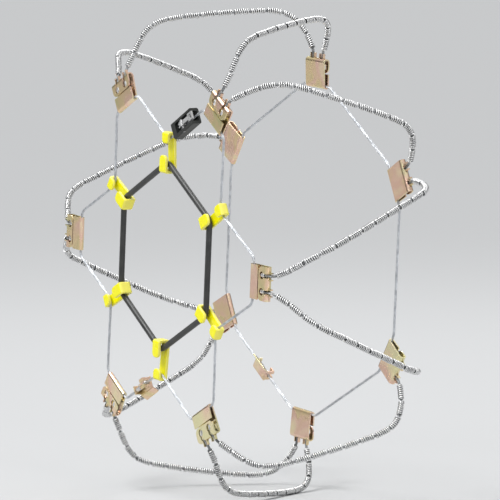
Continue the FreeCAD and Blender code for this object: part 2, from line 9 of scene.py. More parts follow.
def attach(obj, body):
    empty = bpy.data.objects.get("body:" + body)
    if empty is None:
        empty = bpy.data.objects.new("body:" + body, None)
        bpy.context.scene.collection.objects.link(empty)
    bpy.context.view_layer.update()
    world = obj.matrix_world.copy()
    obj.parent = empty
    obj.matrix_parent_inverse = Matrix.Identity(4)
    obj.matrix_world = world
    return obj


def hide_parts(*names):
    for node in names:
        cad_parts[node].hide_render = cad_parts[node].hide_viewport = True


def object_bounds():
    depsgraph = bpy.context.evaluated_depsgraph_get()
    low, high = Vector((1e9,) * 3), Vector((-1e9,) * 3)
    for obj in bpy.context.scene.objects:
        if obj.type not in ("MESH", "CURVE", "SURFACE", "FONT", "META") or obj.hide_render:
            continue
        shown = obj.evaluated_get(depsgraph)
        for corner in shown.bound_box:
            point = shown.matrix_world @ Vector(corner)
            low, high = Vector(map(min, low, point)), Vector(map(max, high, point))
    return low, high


# Looks of a cable-type tire snow chain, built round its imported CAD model. Metres; the wheel's
# axle lies along Y, the outer face looks along -Y and +Z is up. Angles run from +X towards +Z.

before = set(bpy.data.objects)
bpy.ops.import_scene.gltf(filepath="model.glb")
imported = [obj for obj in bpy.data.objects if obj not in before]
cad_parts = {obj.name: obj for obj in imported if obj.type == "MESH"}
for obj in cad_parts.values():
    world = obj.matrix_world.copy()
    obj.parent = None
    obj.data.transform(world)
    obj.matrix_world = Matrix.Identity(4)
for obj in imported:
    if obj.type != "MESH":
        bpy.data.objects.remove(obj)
cad_low, cad_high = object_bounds()

MM = 0.001
TURN = 2 * math.pi
AXLE = np.array([0.0, 1.0, 0.0])
dice = random.Random(11)

# ---------------------------------------------------------------- the design's sizes
SIDES = 6
STEP_DEG = 360.0 / SIDES
HALF_STEP_DEG = STEP_DEG / 2
FIRST_BRACKET_DEG = -4.3

SIDE_CABLE_R = 1.6 * MM
TREAD_CABLE_R = 1.7 * MM
RING_CORD_R = 3.75 * MM
OUTER_HOOP_R = 207 * MM
OUTER_HOOP_Y = -116.5 * MM
INNER_HOOP_R = 210 * MM
INNER_HOOP_Y = 100 * MM

BRACKET_WIDTH = 42 * MM
HOOP_LEAD = 1 * MM
HOOP_BEND_R = 12 * MM
HOOP_BEND_TURN_DEG = 57
HOOP_BEND_V = BRACKET_WIDTH / 2 + HOOP_LEAD + HOOP_BEND_R * math.tan(math.radians(HOOP_BEND_TURN_DEG / 2))

HOOK_SEAT_R = 149 * MM
CABLE_SEAT_HALF = 5 * MM
CABLE_SEAT_BEND_R = 10 * MM
RING_CORNER_R = 116 * MM
RING_SEAT_HALF = 4 * MM
RING_BEND_R = 9 * MM

# Where a side cable's two ends lie along its fastener plate, from the plate's middle: one is
# inside the ball, the other inside the end sleeve.
FASTENER_BRACKET = 4
INNER_FASTENER_BRACKET = 3
BALL_END_P = 7.55 * MM
SLEEVE_END_P = -3.95 * MM

# Route of a tread cable's centre from one keyhole to the other, as (radius, y, degrees round
# from the bracket it leaves) in millimetres. The tread is the same from both sides.
KEYHOLE_V = 10 * MM
CABLE_START_U = 21.2 * MM
CABLE_EXIT_U = 33 * MM
OUTER_WALL_ROUTE = [(250.0, -112.5, 2.5), (262.0, -105.5, 3.8), (276.0, -98.5, 5.3), (290.0, -90.5, 7.0)]
INNER_WALL_ROUTE = [(253.0, 99.2, 2.5), (264.0, 98.2, 3.8), (277.0, 95.5, 5.3), (290.0, 89.5, 7.0)]
OVER_TREAD = [(300.0, 79.0, 8.4), (304.0, 62.0, 9.8), (305.0, 32.0, 12.3)]
TREAD_MIDDLE = (305.0, 0.0, HALF_STEP_DEG / 2)
# Share of the shorter run beside a corner that its rounding takes up.
CORNER_SHARE = 0.48

# A coil's wire is wound closer over its first and last turn, and its middle line leans.
COIL_OUTER_R = 4.0 * MM
COIL_WIRE_R = 0.88 * MM
COIL_LENGTH = 19.6 * MM
COIL_GAP = 1.3 * MM
COIL_PITCH = 2.7 * MM
COIL_LEAN = 0.25 * MM
CLOSED_TURNS = 0.9
CLOSED_PITCH = 1.85 * MM
BARE_CABLE = 13 * MM

# Twisted cable: its strands, and the length in which a strand goes once round.
STRANDS = 6
SIDE_CABLE_LAY = 26 * MM
TREAD_CABLE_LAY = 28 * MM

# ---------------------------------------------------------------- how finely it is meshed
SIDE_CABLE_STEP = 0.9 * MM
TREAD_CABLE_STEP = 1.0 * MM
RING_STEP = 2.0 * MM
COIL_PATH_STEP = 0.25 * MM
STRAND_FACETS = 6
RING_FACETS = 28
WIRE_FACETS = 8
POINTS_PER_TURN = 22

# Softened edges of the CAD nodes, and the skin that rounds over the moulded hooks.
BRACKET_EDGE = 0.35 * MM
PLATE_EDGE = 0.3 * MM
TURNED_EDGE = 0.25 * MM
LOCK_EDGE = 0.4 * MM
PIN_EDGE = 0.2 * MM
SPRING_EDGE = 0.02 * MM
LEVER_EDGE = 0.35 * MM
WELD_GAP = 0.01 * MM
FLAT_DEG = 1
EDGE_DEG = 35
SKIN_VOXEL = 0.35 * MM
SKIN_PASSES = 34


# ---------------------------------------------------------------- paths
def radial(angle_deg):
    a = math.radians(angle_deg)
    return np.array([math.cos(a), 0.0, math.sin(a)])


def tangent(angle_deg):
    a = math.radians(angle_deg)
    return np.array([-math.sin(a), 0.0, math.cos(a)])


def polar(radius, y, angle_deg):
    return radial(angle_deg) * radius + AXLE * y


def beside(radius, v, y, angle_deg):
    """A point at a radius, moved v along the tangent there."""
    return polar(radius, y, angle_deg) + tangent(angle_deg) * v


def bracket_deg(index):
    return FIRST_BRACKET_DEG + STEP_DEG * index


def between_deg(index):
    """Halfway from outer bracket index to the next: a hook, and an inner bracket."""
    return bracket_deg(index) + HALF_STEP_DEG


def unit(v):
    return v / np.linalg.norm(v)


def lengths_along(points):
    """Each point's distance along the path, from its first point."""
    return np.concatenate([[0], np.cumsum(np.linalg.norm(np.diff(points, axis=0), axis=1))])


def values_at(stations, lengths, table):
    """Rows of a table of values along a path, at the stations' distances along it."""
    return np.column_stack([np.interp(stations, lengths, table[:, k]) for k in range(3)])


def bend(before, corner, after, radius, step):
    """Points of the arc that rounds the corner between two straight runs."""
    into, out_of = unit(corner - before), unit(after - corner)
    half_turn = math.acos(max(-1.0, min(1.0, float(into @ out_of)))) / 2
    reach = radius * math.tan(half_turn)
    hub = corner + unit(out_of - into) * (radius / math.cos(half_turn))
    start, end = corner - into * reach - hub, corner + out_of * reach - hub
    arc = 2 * half_turn
    parts = max(2, int(math.ceil(arc * radius / step)))
    shares = [k / parts for k in range(parts + 1)]
    return [hub + (math.sin((1 - t) * arc) * start + math.sin(t * arc) * end) / math.sin(arc) for t in shares]


def rounded_samples(points, bend_radii, closed, step):
    """Points along straight runs joined by tangent arcs, spaced evenly by about a step."""
    count = len(points)
    dense = [] if closed else [points[0]]
    for i in (range(count) if closed else range(1, count - 1)):
        dense += bend(points[i - 1], points[i], points[(i + 1) % count], bend_radii[i], step / 2)
    dense.append(dense[0] if closed else points[-1])
    dense = np.array(dense)
    lengths = lengths_along(dense)
    stations = np.linspace(0, lengths[-1], max(2, int(round(lengths[-1] / step))) + 1)
    even = values_at(stations, lengths, dense)
    return even[:-1] if closed else even


def smooth_radii(points):
    """Corner radii as wide as the runs beside each corner allow."""
    radii = [0.0] * len(points)
    for i in range(1, len(points) - 1):
        into, out_of = points[i] - points[i - 1], points[i + 1] - points[i]
        turn = math.acos(float(unit(into) @ unit(out_of)))
        radii[i] = CORNER_SHARE * min(np.linalg.norm(into), np.linalg.norm(out_of)) / math.tan(turn / 2)
    return radii


def headings(points, closed):
    """Unit vectors along the path at each point."""
    if closed:
        raw = np.roll(points, -1, axis=0) - np.roll(points, 1, axis=0)
    else:
        raw = np.gradient(points, axis=0)
    return raw / np.linalg.norm(raw, axis=1)[:, None]


def carried_frames(points, closed):
    """Two directions across the path at each point, carried along it without twisting."""
    along = headings(points, closed)
    across = [unit(np.cross(along[0], AXLE))]
    for heading in along[1:]:
        carried = across[-1] - heading * (across[-1] @ heading)
        across.append(unit(carried))
    across = np.array(across)
    return across, np.cross(along, across)


# ---------------------------------------------------------------- meshes
def mesh_object(name, verts, faces, uvs=None):
    mesh = bpy.data.meshes.new(name)
    mesh.from_pydata([tuple(v) for v in verts], [], faces)
    mesh.validate()
    mesh.polygons.foreach_set("use_smooth", [True] * len(mesh.polygons))
    if uvs is not None:
        layer = mesh.uv_layers.new(name="UVMap")
        loop_verts = np.zeros(len(mesh.loops), np.int32)
        mesh.loops.foreach_get("vertex_index", loop_verts)
        layer.data.foreach_set("uv", np.asarray(uvs, np.float32)[loop_verts].ravel())
    mesh.update()
    obj = bpy.data.objects.new(name, mesh)
    bpy.context.scene.collection.objects.link(obj)
    return obj


def tube_faces(sections, ring, closed, base=0):
    """Quads between a tube's rings of vertices, and a cap on each open end."""
    faces = []
    for i in range(sections if closed else sections - 1):
        a = base + i * ring
        b = base + (i + 1) % sections * ring
        for j in range(ring):
            k = (j + 1) % ring
            faces.append((a + j, a + k, b + k, b + j))
    if not closed:
        last = base + (sections - 1) * ring
        faces.append(tuple(base + j for j in reversed(range(ring))))
        faces.append(tuple(last + j for j in range(ring)))
    return faces


def tube_uvs(lengths, ring):
    """U goes once round the tube and V is the distance along it, in metres."""
    return np.column_stack([np.tile(np.arange(ring) / ring, len(lengths)), np.repeat(lengths, ring)])


def swept(name, points, rings, closed):
    """A tube through the points, with one of the cross-section rings at each point."""
    across, up = carried_frames(points, closed)
    ring = rings.shape[1]
    verts = points[:, None, :] + rings[:, :, 0:1] * across[:, None, :] + rings[:, :, 1:2] * up[:, None, :]
    faces = tube_faces(len(points), ring, closed)
    return mesh_object(name, verts.reshape(-1, 3), faces, tube_uvs(lengths_along(points), ring))


def strand_rings(points, radius, lay):
    """Rings of a twisted cable: round strands that wind round as the path goes on."""
    phi = np.arange(STRANDS * STRAND_FACETS) / (STRANDS * STRAND_FACETS) * TURN
    from_crest = ((phi * STRANDS / TURN) % 1.0 - 0.5) * (TURN / STRANDS)
    centre_r, strand_r = radius * 2 / 3, radius / 3
    bulge = np.sqrt(np.maximum(strand_r ** 2 - (centre_r * np.sin(from_crest)) ** 2, 0))
    envelope = centre_r * np.cos(from_crest) + bulge
    angle = phi[None, :] + (lengths_along(points) / lay * TURN)[:, None]
    return np.stack([envelope[None, :] * np.cos(angle), envelope[None, :] * np.sin(angle)], axis=2)


def cable(name, points, radius, lay):
    return swept(name, points, strand_rings(points, radius, lay), False)


def round_rings(count, radius, ring):
    phi = np.arange(ring) / ring * TURN
    one = np.column_stack([np.cos(phi), np.sin(phi)]) * radius
    return np.repeat(one[None, :, :], count, axis=0)


# ---------------------------------------------------------------- routes of the cables
def hoop_route(start, end, corners, step):
    """A side cable from its ball to its sleeve, round the corners as (point, bend radius). Both
    ends lie on the straight run from start to end, which the fastener plate closes."""
    middle, along = (start + end) / 2, unit(end - start)
    points = [middle + along * BALL_END_P] + [point for point, _ in corners] + [middle + along * SLEEVE_END_P]
    radii = [0] + [radius for _, radius in corners] + [0]
    return rounded_samples(points, radii, False, step)


def outer_route(step):
    start = beside(OUTER_HOOP_R, HOOP_BEND_V, OUTER_HOOP_Y, bracket_deg(FASTENER_BRACKET))
    end = beside(HOOK_SEAT_R, -CABLE_SEAT_HALF, OUTER_HOOP_Y, between_deg(FASTENER_BRACKET))
    corners = []
    for i in range(SIDES):
        hook = between_deg(FASTENER_BRACKET + i)
        for v in (-CABLE_SEAT_HALF, CABLE_SEAT_HALF):
            corners.append((beside(HOOK_SEAT_R, v, OUTER_HOOP_Y, hook), CABLE_SEAT_BEND_R))
        for v in (-HOOP_BEND_V, HOOP_BEND_V):
            corners.append((beside(OUTER_HOOP_R, v, OUTER_HOOP_Y, hook + HALF_STEP_DEG), HOOP_BEND_R))
    return hoop_route(start, end, corners, step)


def inner_route(step):
    start = beside(INNER_HOOP_R, HOOP_BEND_V, INNER_HOOP_Y, between_deg(INNER_FASTENER_BRACKET))
    end = beside(INNER_HOOP_R, -HOOP_BEND_V, INNER_HOOP_Y, between_deg(INNER_FASTENER_BRACKET + 1))
    corners = []
    for i in range(SIDES):
        bracket = between_deg(INNER_FASTENER_BRACKET + 1 + i)
        for v in (-HOOP_BEND_V, HOOP_BEND_V):
            corners.append((beside(INNER_HOOP_R, v, INNER_HOOP_Y, bracket), HOOP_BEND_R))
    return hoop_route(start, end, corners, step)


def tread_route(side, step):
    """Tread cable from the outer bracket at angle 0 to the inner one half a step on (side 1)
    or half a step back (side -1)."""
    start = [beside(OUTER_HOOP_R + u, side * KEYHOLE_V, OUTER_HOOP_Y, 0)
             for u in (CABLE_START_U, CABLE_EXIT_U)]
    near = [polar(r * MM, y * MM, side * deg) for r, y, deg in OUTER_WALL_ROUTE]
    near += [polar(r * MM, -y * MM, side * deg) for r, y, deg in OVER_TREAD]
    middle = polar(TREAD_MIDDLE[0] * MM, TREAD_MIDDLE[1] * MM, side * TREAD_MIDDLE[2])
    far = [polar(r * MM, y * MM, side * (HALF_STEP_DEG - deg)) for r, y, deg in INNER_WALL_ROUTE + OVER_TREAD]
    end = [beside(INNER_HOOP_R + u, -side * KEYHOLE_V, INNER_HOOP_Y, side * HALF_STEP_DEG)
           for u in (CABLE_EXIT_U, CABLE_START_U)]
    points = start + near + [middle] + far[::-1] + end
    return rounded_samples(points, smooth_radii(points), False, step)


def ring_route(step):
    points = [beside(RING_CORNER_R, v, OUTER_HOOP_Y, between_deg(i))
              for i in range(SIDES) for v in (-RING_SEAT_HALF, RING_SEAT_HALF)]
    return rounded_samples(points, [RING_BEND_R] * len(points), True, step)


# ---------------------------------------------------------------- traction coils
def coil_starts(length):
    """Where each coil starts along a tread cable of this length: as many as fit, evenly spaced."""
    first = CABLE_EXIT_U - CABLE_START_U + BARE_CABLE
    room = length - 2 * first
    count = int((room + COIL_GAP) // (COIL_LENGTH + COIL_GAP))
    pitch = (room + (room - count * COIL_LENGTH) / (count - 1)) / count
    return [first + i * pitch for i in range(count)]


def coil_winding():
    """Turns made, and distance moved along the cable, at each point of a coil's wire."""
    usable = COIL_LENGTH - 2 * COIL_WIRE_R
    closed = CLOSED_TURNS * CLOSED_PITCH
    turns = 2 * CLOSED_TURNS + (usable - 2 * closed) / COIL_PITCH
    turn = np.linspace(0, turns, int(turns * POINTS_PER_TURN) + 1)
    rise = np.interp(turn, [0, CLOSED_TURNS, turns - CLOSED_TURNS, turns],
                     [0, closed, usable - closed, usable])
    return turn, rise


def coil_wire(centre, across, up, phi):
    """Vertices of a round wire wound about the centre line, at the angles phi."""
    out = across * np.cos(phi)[:, None] + up * np.sin(phi)[:, None]
    wire = centre + out * (COIL_OUTER_R - COIL_WIRE_R)
    heading = headings(wire, False)
    out = out - heading * np.sum(out * heading, axis=1)[:, None]
    out /= np.linalg.norm(out, axis=1)[:, None]
    third = np.cross(heading, out)
    psi = np.arange(WIRE_FACETS) / WIRE_FACETS * TURN
    rings = out[:, None, :] * np.cos(psi)[None, :, None] + third[:, None, :] * np.sin(psi)[None, :, None]
    return (wire[:, None, :] + COIL_WIRE_R * rings).reshape(-1, 3)


def coils(name, side):
    """Every coil of one tread cable as a wound wire with cut ends, each leaning its own way."""
    path = tread_route(side, COIL_PATH_STEP)
    lengths = lengths_along(path)
    across, up = carried_frames(path, False)
    turn, rise = coil_winding()
    lean = COIL_LEAN * (2 * turn / turn[-1] - 1)
    verts, faces, uvs = [], [], []
    for n, start in enumerate(coil_starts(lengths[-1])):
        s = start + COIL_WIRE_R + rise
        phi = dice.uniform(0, TURN) + turn * TURN
        tilt = dice.uniform(0, TURN)
        across_here, up_here = values_at(s, lengths, across), values_at(s, lengths, up)
        centre = values_at(s, lengths, path) + across_here * (lean * math.cos(tilt))[:, None]
        centre = centre + up_here * (lean * math.sin(tilt))[:, None]
        verts.append(coil_wire(centre, across_here, up_here, phi))
        faces += tube_faces(len(turn), WIRE_FACETS, False, n * len(turn) * WIRE_FACETS)
        uvs.append(tube_uvs(s, WIRE_FACETS))
    return mesh_object(name, np.concatenate(verts), faces, np.concatenate(uvs))


def copy_turned(obj, name, angle_deg):
    """Copy turned about the axle, from bracket angle 0 to this angle."""
    copy = bpy.data.objects.new(name, obj.data.copy())
    copy.data.transform(Matrix.Rotation(math.radians(-angle_deg), 4, "Y"))
    bpy.context.scene.collection.objects.link(copy)
    return copy


# ---------------------------------------------------------------- material helpers
def fill_ramp(node, stops, interpolation="LINEAR"):
    """Gives a colour ramp its stops, as (place, colour)."""
    ramp = node.color_ramp
    ramp.interpolation = interpolation
    while len(ramp.elements) < len(stops):
        ramp.elements.new(0.5)
    for element, (place, colour) in zip(ramp.elements, stops):
        element.position = place
        element.color = (*colour, 1.0)


class Shader:
    """One node material: short calls that add a node and give back its output. A noise's scale
    counts features per metre, and every distance is in metres."""

    def __init__(self, name):
        self.material = bpy.data.materials.new(name)
        self.material.use_nodes = True
        self.tree = self.material.node_tree
        self.tree.nodes.clear()
        output = self.node("ShaderNodeOutputMaterial")
        self.surface = self.node("ShaderNodeBsdfPrincipled")
        self.link(self.surface.outputs["BSDF"], output.inputs["Surface"])

    def node(self, kind, **settings):
        made = self.tree.nodes.new(kind)
        for key, value in settings.items():
            setattr(made, key, value)
        return made

    def link(self, source, target):
        self.tree.links.new(source, target)

    def feed(self, socket, value):
        """Links a node's output to the socket, or gives the socket a fixed value."""
        if isinstance(value, bpy.types.NodeSocket):
            self.link(value, socket)
        else:
            socket.default_value = value

    def put(self, **values):
        """Sets the surface's inputs by name, with _ for a space."""
        for key, value in values.items():
            self.feed(self.surface.inputs[key.replace("_", " ")], value)

    def coords(self, kind="Object"):
        return self.node("ShaderNodeTexCoord").outputs[kind]

    def split(self, vector):
        made = self.node("ShaderNodeSeparateXYZ")
        self.link(vector, made.inputs[0])
        return made.outputs

    def mapped(self, vector, **settings):
        """The vector moved, turned or scaled, by Location, Rotation and Scale."""
        made = self.node("ShaderNodeMapping")
        for key, value in settings.items():
            made.inputs[key].default_value = value
        self.link(vector, made.inputs["Vector"])
        return made.outputs[0]

    def noise(self, scale, detail, roughness, vector=None, distortion=0.0):
        made = self.node("ShaderNodeTexNoise")
        made.inputs["Scale"].default_value = scale
        made.inputs["Detail"].default_value = detail
        made.inputs["Roughness"].default_value = roughness
        made.inputs["Distortion"].default_value = distortion
        self.link(self.coords() if vector is None else vector, made.inputs["Vector"])
        return made.outputs["Fac"]

    def ramp(self, factor, stops, interpolation="LINEAR"):
        made = self.node("ShaderNodeValToRGB")
        fill_ramp(made, stops, interpolation)
        self.link(factor, made.inputs["Fac"])
        return made.outputs["Color"]

    def grey(self, factor, low, high, low_at=0.3, high_at=0.7):
        return self.ramp(factor, [(low_at, (low, low, low)), (high_at, (high, high, high))])

    def mix(self, factor, a, b):
        made = self.node("ShaderNodeMix", data_type="RGBA")
        self.link(factor, made.inputs["Factor"])
        self.feed(made.inputs["A"], (*a, 1.0) if isinstance(a, tuple) else a)
        self.feed(made.inputs["B"], (*b, 1.0))
        return made.outputs["Result"]

    def maths(self, operation, a, b=0.0):
        made = self.node("ShaderNodeMath", operation=operation)
        self.feed(made.inputs[0], a)
        self.feed(made.inputs[1], b)
        return made.outputs[0]

    def bump(self, height, strength, distance, normal=None):
        made = self.node("ShaderNodeBump")
        made.inputs["Strength"].default_value = strength
        made.inputs["Distance"].default_value = distance
        self.link(height, made.inputs["Height"])
        if normal is not None:
            self.link(normal, made.inputs["Normal"])
        return made.outputs["Normal"]

    def hollows(self, distance, strength, shut_at, open_at):
        """Grey that grows to the strength in gaps and creases about the distance wide: an occlusion mask for
        painted shade.
        """
        made = self.node("ShaderNodeAmbientOcclusion", samples=6)
        made.inputs["Distance"].default_value = distance
        return self.grey(made.outputs["AO"], strength, 0.0, shut_at, open_at)


# ---------------------------------------------------------------- materials
# Fine wires of a strand: how many lie round the cable, and how many are crossed in a metre.
WIRES_ROUND = 18
WIRES_PER_METRE = 260

SIDE_ZINC = (0.72, 0.74, 0.77)
SIDE_ZINC_DARK = (0.46, 0.48, 0.51)
# The core's zinc is drawn darker than the side cable's: partly its own duller grey, partly painted shade for
# the dark gaps between the coil turns over it.
SHADED_CORE_ZINC = (0.42, 0.43, 0.44)
SHADED_CORE_ZINC_DARK = (0.15, 0.155, 0.16)
COIL_ZINC = [(0.3, (0.60, 0.60, 0.61)), (0.5, (0.80, 0.80, 0.80)), (0.75, (0.88, 0.88, 0.87))]
# Near-black painted shade, laid into the coils' gaps by an occlusion mask.
COIL_GAP_PAINTED_SHADE = (0.05, 0.05, 0.052)

# The chromate film's colours, from green through gold and pink to olive, and each bracket
# pair's place in them: green below 0, pink and orange above 0.
FILM = [(0.30, (0.78, 0.73, 0.42)), (0.42, (0.86, 0.74, 0.46)), (0.50, (0.88, 0.66, 0.47)),
        (0.57, (0.86, 0.56, 0.45)), (0.66, (0.83, 0.63, 0.36)), (0.80, (0.66, 0.62, 0.30))]
FILM_TONES = (0.05, 0.03, -0.02, 0.06, 0.0, -0.09)
FILM_SHIFT = 0.37
FILM_GLOSS = (0.95, 0.88, 0.70)
SCRATCH = (0.93, 0.92, 0.88)
# Brown painted shade for the brackets' creases.
PAINTED_CREASE_SHADE = (0.20, 0.13, 0.06)

YELLOW = (0.93, 0.88, 0.003)
# Paler yellow painted highlight for the hooks' rounded edges and side faces.
YELLOW_PAINTED_HIGHLIGHT = (0.88, 0.81, 0.13)
YELLOW_DEPTH = (4 * MM, 3.5 * MM, 1 * MM)
MOULDED_EDGE_R = 2.2 * MM
CORD_BLACK = [(0.35, (0.020, 0.021, 0.021)), (0.62, (0.036, 0.037, 0.036)), (0.85, (0.065, 0.065, 0.063))]
LOCK_BLACK = [(0.4, (0.012, 0.013, 0.012)), (0.7, (0.035, 0.037, 0.034))]


def galvanised(name, light, dark, rough, metal):
    """Twisted zinc-coated cable: fine wires in bump, with a painted highlight along their crests, blotches of
    light and dark zinc, dull bloom.
    """
    s = Shader(name)
    u, v, _ = s.split(s.coords("UV"))
    angle = s.maths("MULTIPLY", u, WIRES_ROUND * TURN)
    run = s.maths("MULTIPLY", v, WIRES_PER_METRE * TURN)
    wires = s.maths("SINE", s.maths("ADD", angle, run))
    bloom = s.noise(900, 4, 0.6)
    blotch = s.noise(120, 3, 0.5)
    bright = tuple(channel * 1.05 for channel in light)
    colour = s.mix(s.grey(blotch, 0, 1, 0.35, 0.65), dark, light)
    # Painted highlight: lighter colour along the crests of the fine wires, where their bump rises.
    colour = s.mix(s.grey(wires, 0.0, 0.35, 0.0, 1.0), colour, bright)
    fine = s.bump(s.maths("ADD", wires, s.maths("MULTIPLY", bloom, 0.8)), 0.5, 0.1 * MM)
    s.put(Base_Color=colour, Metallic=metal, Roughness=s.grey(bloom, rough - 0.07, rough + 0.12), Normal=fine)
    return s.material


def coil_steel():
    """Bright zinc-plated spring wire with small dull patches, and near-black painted shade in its gaps and
    creases.
    """
    s = Shader("coil_zinc")
    patches = s.noise(160, 4, 0.6)
    grain = s.noise(2600, 2, 0.5)
    # Painted shade: near black where the occlusion mask finds gaps about 2.5 mm wide.
    colour = s.mix(s.hollows(2.5 * MM, 1.0, 0.35, 0.88), s.ramp(patches, COIL_ZINC), COIL_GAP_PAINTED_SHADE)
    s.put(Base_Color=colour, Metallic=0.95, Roughness=s.grey(patches, 0.20, 0.38),
          Normal=s.bump(grain, 0.25, 0.05 * MM))
    return s.material


def chromate(name, shift, tone):
    """Yellow chromate on zinc: pale gold that drifts to pink, green and orange with the plate
    and with the angle of view, with a brushed grain, fine scratches and brown painted shade in its creases."""
    s = Shader(name)
    place = s.mapped(s.coords(), Location=(shift, shift * 0.7, shift * 1.3))
    broad = s.noise(22, 2, 0.5, place, 0.6)
    brushed = s.noise(700, 3, 0.6, s.mapped(place, Scale=(1, 0.15, 1)))
    facing = s.node("ShaderNodeLayerWeight")
    facing.inputs["Blend"].default_value = 0.35
    film = s.maths("ADD", broad, s.maths("MULTIPLY", facing.outputs["Facing"], 0.28))
    colour = s.ramp(s.maths("ADD", film, tone), FILM)
    colour = s.mix(s.grey(brushed, 0.0, 0.12), colour, FILM_GLOSS)
    scratches = s.noise(1400, 2, 0.5, s.mapped(place, Rotation=(0.3, 0.9, 0.2), Scale=(1, 0.04, 0.06)))
    colour = s.mix(s.grey(scratches, 0, 0.22, 0.66, 0.74), colour, SCRATCH)
    # Painted shade: brown where the occlusion mask finds creases about 4 mm wide.
    colour = s.mix(s.hollows(4 * MM, 0.75, 0.25, 0.8), colour, PAINTED_CREASE_SHADE)
    s.put(Base_Color=colour, Metallic=0.95, Roughness=s.grey(broad, 0.18, 0.34),
          Normal=s.bump(brushed, 0.10, 0.06 * MM))
    return s.material


def yellow_plastic():
    """Glossy moulded plastic: saturated on its flat faces, with a painted highlight of paler yellow where the
    moulding rounds over and on faces turned away from the axle.
    """
    s = Shader("yellow_moulding")
    true_normal = s.node("ShaderNodeNewGeometry").outputs["Normal"]
    rounded = s.node("ShaderNodeBevel", samples=8)
    rounded.inputs["Radius"].default_value = MOULDED_EDGE_R
    agreement = s.node("ShaderNodeVectorMath", operation="DOT_PRODUCT")
    s.link(true_normal, agreement.inputs[0])
    s.link(rounded.outputs["Normal"], agreement.inputs[1])
    facing_axle = s.maths("ABSOLUTE", s.split(true_normal)[1])
    flat = s.maths("MULTIPLY", facing_axle, agreement.outputs["Value"])
    cloud = s.noise(40, 2, 0.5)
    # Painted highlight: paler yellow where the rounded normal leaves the true one, and on faces turned away
    # from the axle.
    edge = s.ramp(s.maths("ADD", flat, s.maths("MULTIPLY", cloud, 0.03)),
                  [(0.80, (1, 1, 1)), (0.985, (0, 0, 0))], "EASE")
    orange_peel = s.bump(s.noise(1500, 2, 0.5), 0.12, 0.05 * MM, rounded.outputs["Normal"])
    s.put(Base_Color=s.mix(edge, YELLOW, YELLOW_PAINTED_HIGHLIGHT), Roughness=s.grey(cloud, 0.24, 0.34),
          Normal=orange_peel, Subsurface_Weight=0.2, Subsurface_Radius=YELLOW_DEPTH, Subsurface_Scale=0.5)
    return s.material


def rubber():
    """Charcoal rubber cord with a faint sheen, fine pores and dusty grey patches."""
    s = Shader("charcoal_rubber")
    dust = s.noise(60, 4, 0.6)
    pores = s.noise(2200, 3, 0.6)
    s.put(Base_Color=s.ramp(dust, CORD_BLACK), Roughness=s.grey(dust, 0.33, 0.48), Specular_IOR_Level=0.5,
          Normal=s.bump(pores, 0.35, 0.1 * MM), Sheen_Weight=0.15, Sheen_Roughness=0.4)
    return s.material


def black_plastic():
    """Black moulding with a fine texture and grey scuffs."""
    s = Shader("black_moulding")
    grain = s.noise(1300, 4, 0.6)
    scuff = s.noise(90, 5, 0.7)
    s.put(Base_Color=s.ramp(scuff, LOCK_BLACK), Roughness=s.grey(scuff, 0.32, 0.55),
          Normal=s.bump(grain, 0.3, 0.08 * MM))
    return s.material


def grey_metal(name, light, rough):
    """Cast or turned grey metal with a satin grain and darker patches."""
    s = Shader(name)
    grain = s.noise(1100, 4, 0.65)
    patches = s.noise(140, 3, 0.5)
    dark = (light * 0.78, light * 0.78, light * 0.79)
    s.put(Base_Color=s.mix(s.grey(patches, 0, 1), dark, (light, light, light)), Metallic=0.9,
          Roughness=s.grey(patches, rough, rough + 0.15), Normal=s.bump(grain, 0.4, 0.1 * MM))
    return s.material


materials = {
    "side_cable": galvanised("galvanised_side_cable", SIDE_ZINC, SIDE_ZINC_DARK, rough=0.34, metal=0.7),
    "core_cable": galvanised("galvanised_core_cable", SHADED_CORE_ZINC, SHADED_CORE_ZINC_DARK, rough=0.38, metal=0.85),
    "coil_steel": coil_steel(),
    "button_steel": grey_metal("zinc_buttons", light=0.78, rough=0.28),
    "yellow_plastic": yellow_plastic(),
    "ring_rubber": rubber(),
    "black_plastic": black_plastic(),
    "cast_alloy": grey_metal("cast_lever", light=0.74, rough=0.33)}
chromates = [chromate("chromate_" + str(i + 1), FILM_SHIFT * i, tone) for i, tone in enumerate(FILM_TONES)]


# ---------------------------------------------------------------- pieces in place
def dress(piece, slot, body, node):
    """Gives a new piece the material of its slot name and its body, and hides the CAD node it stands for."""
    piece.data.materials.clear()
    piece.data.materials.append(materials[slot])
    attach(piece, body)
    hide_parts(node)


def coat(node, material):
    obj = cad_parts[node]
    obj.data.materials.clear()
    obj.data.materials.append(material)
    return obj


def refine(node, material, edge):
    """Keeps a CAD node's shape, with merged flats, softened edges and its own material."""
    obj = coat(node, material)
    weld = obj.modifiers.new("weld", "WELD")
    weld.merge_threshold = WELD_GAP
    flats = obj.modifiers.new("flats", "DECIMATE")
    flats.decimate_type = "DISSOLVE"
    flats.angle_limit = math.radians(FLAT_DEG)
    bevel = obj.modifiers.new("bevel", "BEVEL")
    bevel.width = edge
    bevel.segments = 2
    bevel.limit_method = "ANGLE"
    bevel.angle_limit = math.radians(EDGE_DEG)
    for polygon in obj.data.polygons:
        polygon.use_smooth = True
    normals = obj.modifiers.new("normals", "WEIGHTED_NORMAL")
    normals.keep_sharp = False


def mould(node, material):
    """Keeps a CAD node's shape, with every edge rounded over as a moulded piece has it."""
    obj = coat(node, material)
    skin = obj.modifiers.new("skin", "REMESH")
    skin.mode = "VOXEL"
    skin.voxel_size = SKIN_VOXEL
    skin.use_smooth_shade = True
    ease = obj.modifiers.new("ease", "SMOOTH")
    ease.factor = 0.5
    ease.iterations = SKIN_PASSES


